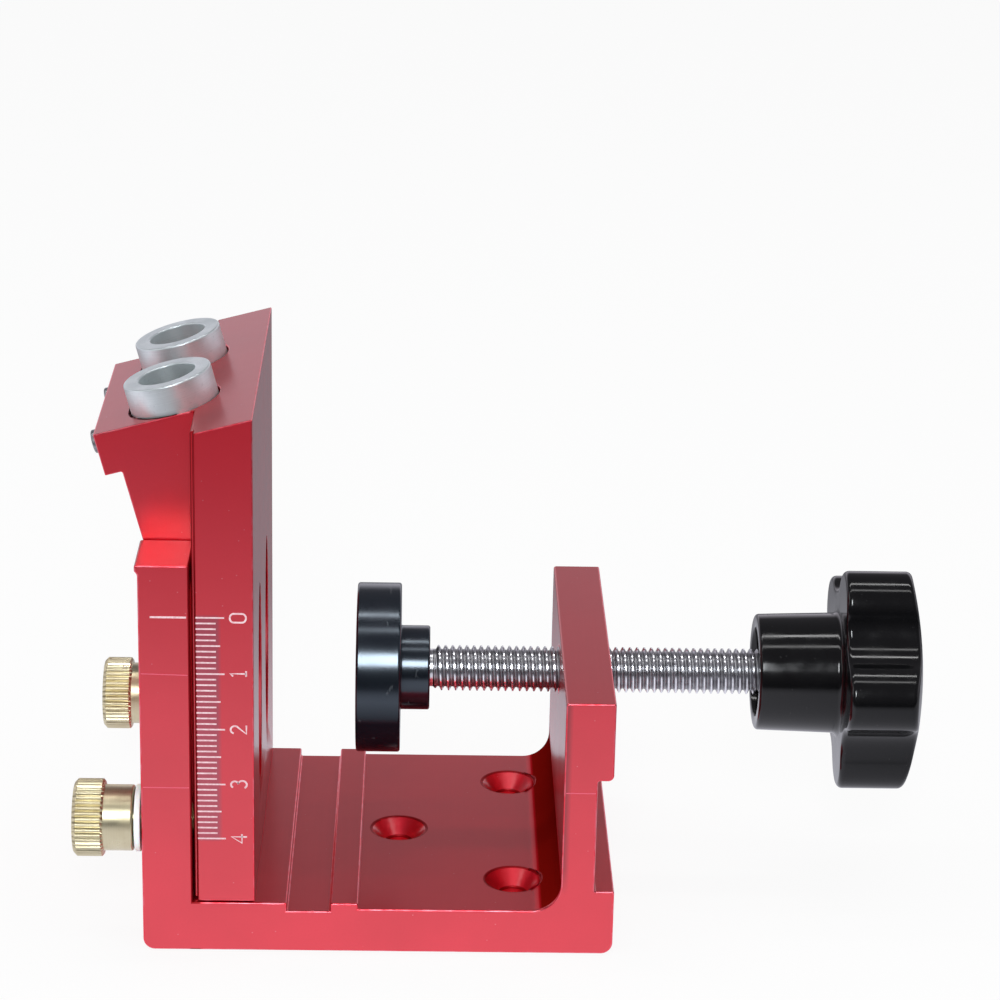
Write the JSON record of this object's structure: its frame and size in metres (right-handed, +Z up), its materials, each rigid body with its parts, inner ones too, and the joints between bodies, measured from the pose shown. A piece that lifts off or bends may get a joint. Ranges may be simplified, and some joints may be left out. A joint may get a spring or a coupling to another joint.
{
  "type": "pocket hole jig",
  "caption": "Pocket hole jig: a height-adjustable angled drilling guide with hardened drill bushes on a U-shaped base frame, and a clamp screw with pressure pad and lobed handwheel.",
  "frame": {"origin": "centre of the base frame's underside, which stands on the bench", "axes": "+Z up; +X from the guide block towards the handwheel, along the clamp screw; -Y is the side with the scale"},
  "size_m": [0.1456, 0.0666, 0.0983],
  "materials": {
    "frame_red": "red anodised, satin",
    "guide_red": "red anodised, satin, engraved scale",
    "bush_steel": "ground and hardened",
    "set_screw_steel": "blackened",
    "clamp_screw_steel": "zinc plated thread",
    "thumb_screw_brass": "turned and knurled",
    "washer_nylon": "white nylon",
    "pad_black": "black anodised, satin",
    "handwheel_black": "gloss moulded phenolic"
  },
  "bodies": {
    "base": {"base_frame": "frame_red"},
    "guide": {"guide_block": "guide_red", "front_drill_bush": "bush_steel", "rear_drill_bush": "bush_steel", "front_bush_set_screw": "set_screw_steel", "rear_bush_set_screw": "set_screw_steel"},
    "front_washer": {"front_nylon_washer": "washer_nylon"},
    "front_thumb": {"front_thumb_screw": "thumb_screw_brass"},
    "rear_washer": {"rear_nylon_washer": "washer_nylon"},
    "rear_thumb": {"rear_thumb_screw": "thumb_screw_brass"},
    "pad": {"pressure_pad": "pad_black", "pad_thrust_disc": "bush_steel", "pad_retaining_ring": "set_screw_steel"},
    "screw": {"clamp_screw": "clamp_screw_steel", "handwheel": "handwheel_black", "handwheel_insert": "thumb_screw_brass"}
  },
  "joints": [
    {"name": "guide_height", "type": "slide", "parent": "base", "child": "guide", "axis": [0, 0, 1], "range_m": [0, 0.04]},
    {"name": "front_thumb_advance", "type": "slide", "parent": "guide", "child": "front_washer", "axis": [-1, 0, 0], "range_m": [0, 0.002]},
    {"name": "front_thumb_turn", "type": "hinge", "parent": "front_washer", "child": "front_thumb", "pos_m": [-0.04, -0.02675, 0.02215], "axis": [-1, 0, 0], "range_deg": [0, 721]},
    {"name": "rear_thumb_advance", "type": "slide", "parent": "guide", "child": "rear_washer", "axis": [-1, 0, 0], "range_m": [0, 0.002]},
    {"name": "rear_thumb_turn", "type": "hinge", "parent": "rear_washer", "child": "rear_thumb", "pos_m": [-0.04, 0.02675, 0.02215], "axis": [-1, 0, 0], "range_deg": [0, 721]},
    {"name": "pad_advance", "type": "slide", "parent": "base", "child": "pad", "axis": [1, 0, 0], "range_m": [-0.0161, 0.0223]},
    {"name": "clamp_turn", "type": "hinge", "parent": "pad", "child": "screw", "pos_m": [-0.0046, 0, 0.0392], "axis": [1, 0, 0], "range_deg": [-4640, 6426]}
  ],
  "couplings": [
    {"joint": "front_thumb_turn", "follows": "front_thumb_advance", "rad_per_m": 6283.2},
    {"joint": "rear_thumb_turn", "follows": "rear_thumb_advance", "rad_per_m": 6283.2},
    {"joint": "clamp_turn", "follows": "pad_advance", "rad_per_m": 5026.5}
  ]
}
